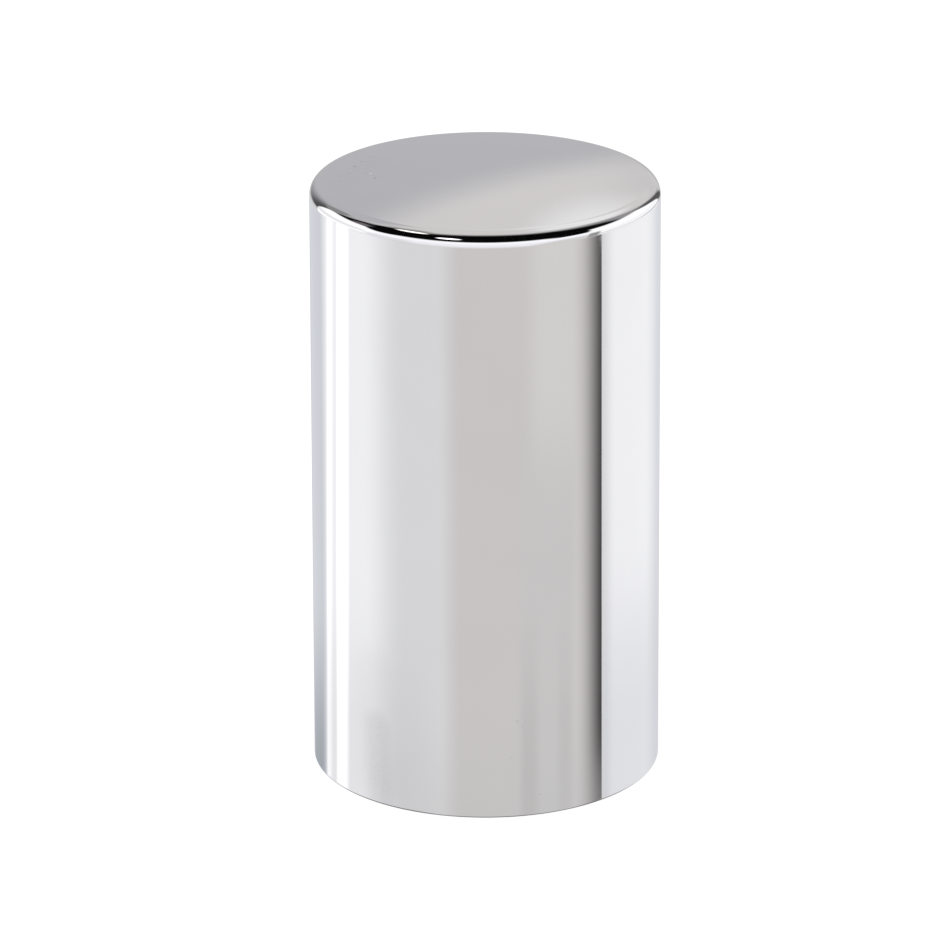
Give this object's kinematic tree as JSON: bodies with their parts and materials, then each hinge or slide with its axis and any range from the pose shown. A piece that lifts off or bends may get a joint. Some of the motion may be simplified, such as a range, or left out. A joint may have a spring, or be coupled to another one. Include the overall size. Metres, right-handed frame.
{
  "type": "wheel nut cover cap",
  "caption": "Plain round cover cap with a closed, slightly domed crown and an open mouth, ribbed inside so that it pushes over a wheel nut and grips it.",
  "frame": {"origin": "centre of the mouth plane, on the axis of the round wall", "axes": "+Z along the axis from the open mouth to the closed crown; +X square to one flat of the nut that the ribs grip"},
  "size_m": [0.0508, 0.0508, 0.0889],
  "materials": {
    "chrome_plating": "mirror-bright decorative chrome plating on moulded ABS"
  },
  "bodies": {
    "root": {"cap": "chrome_plating"}
  },
  "joints": []
}
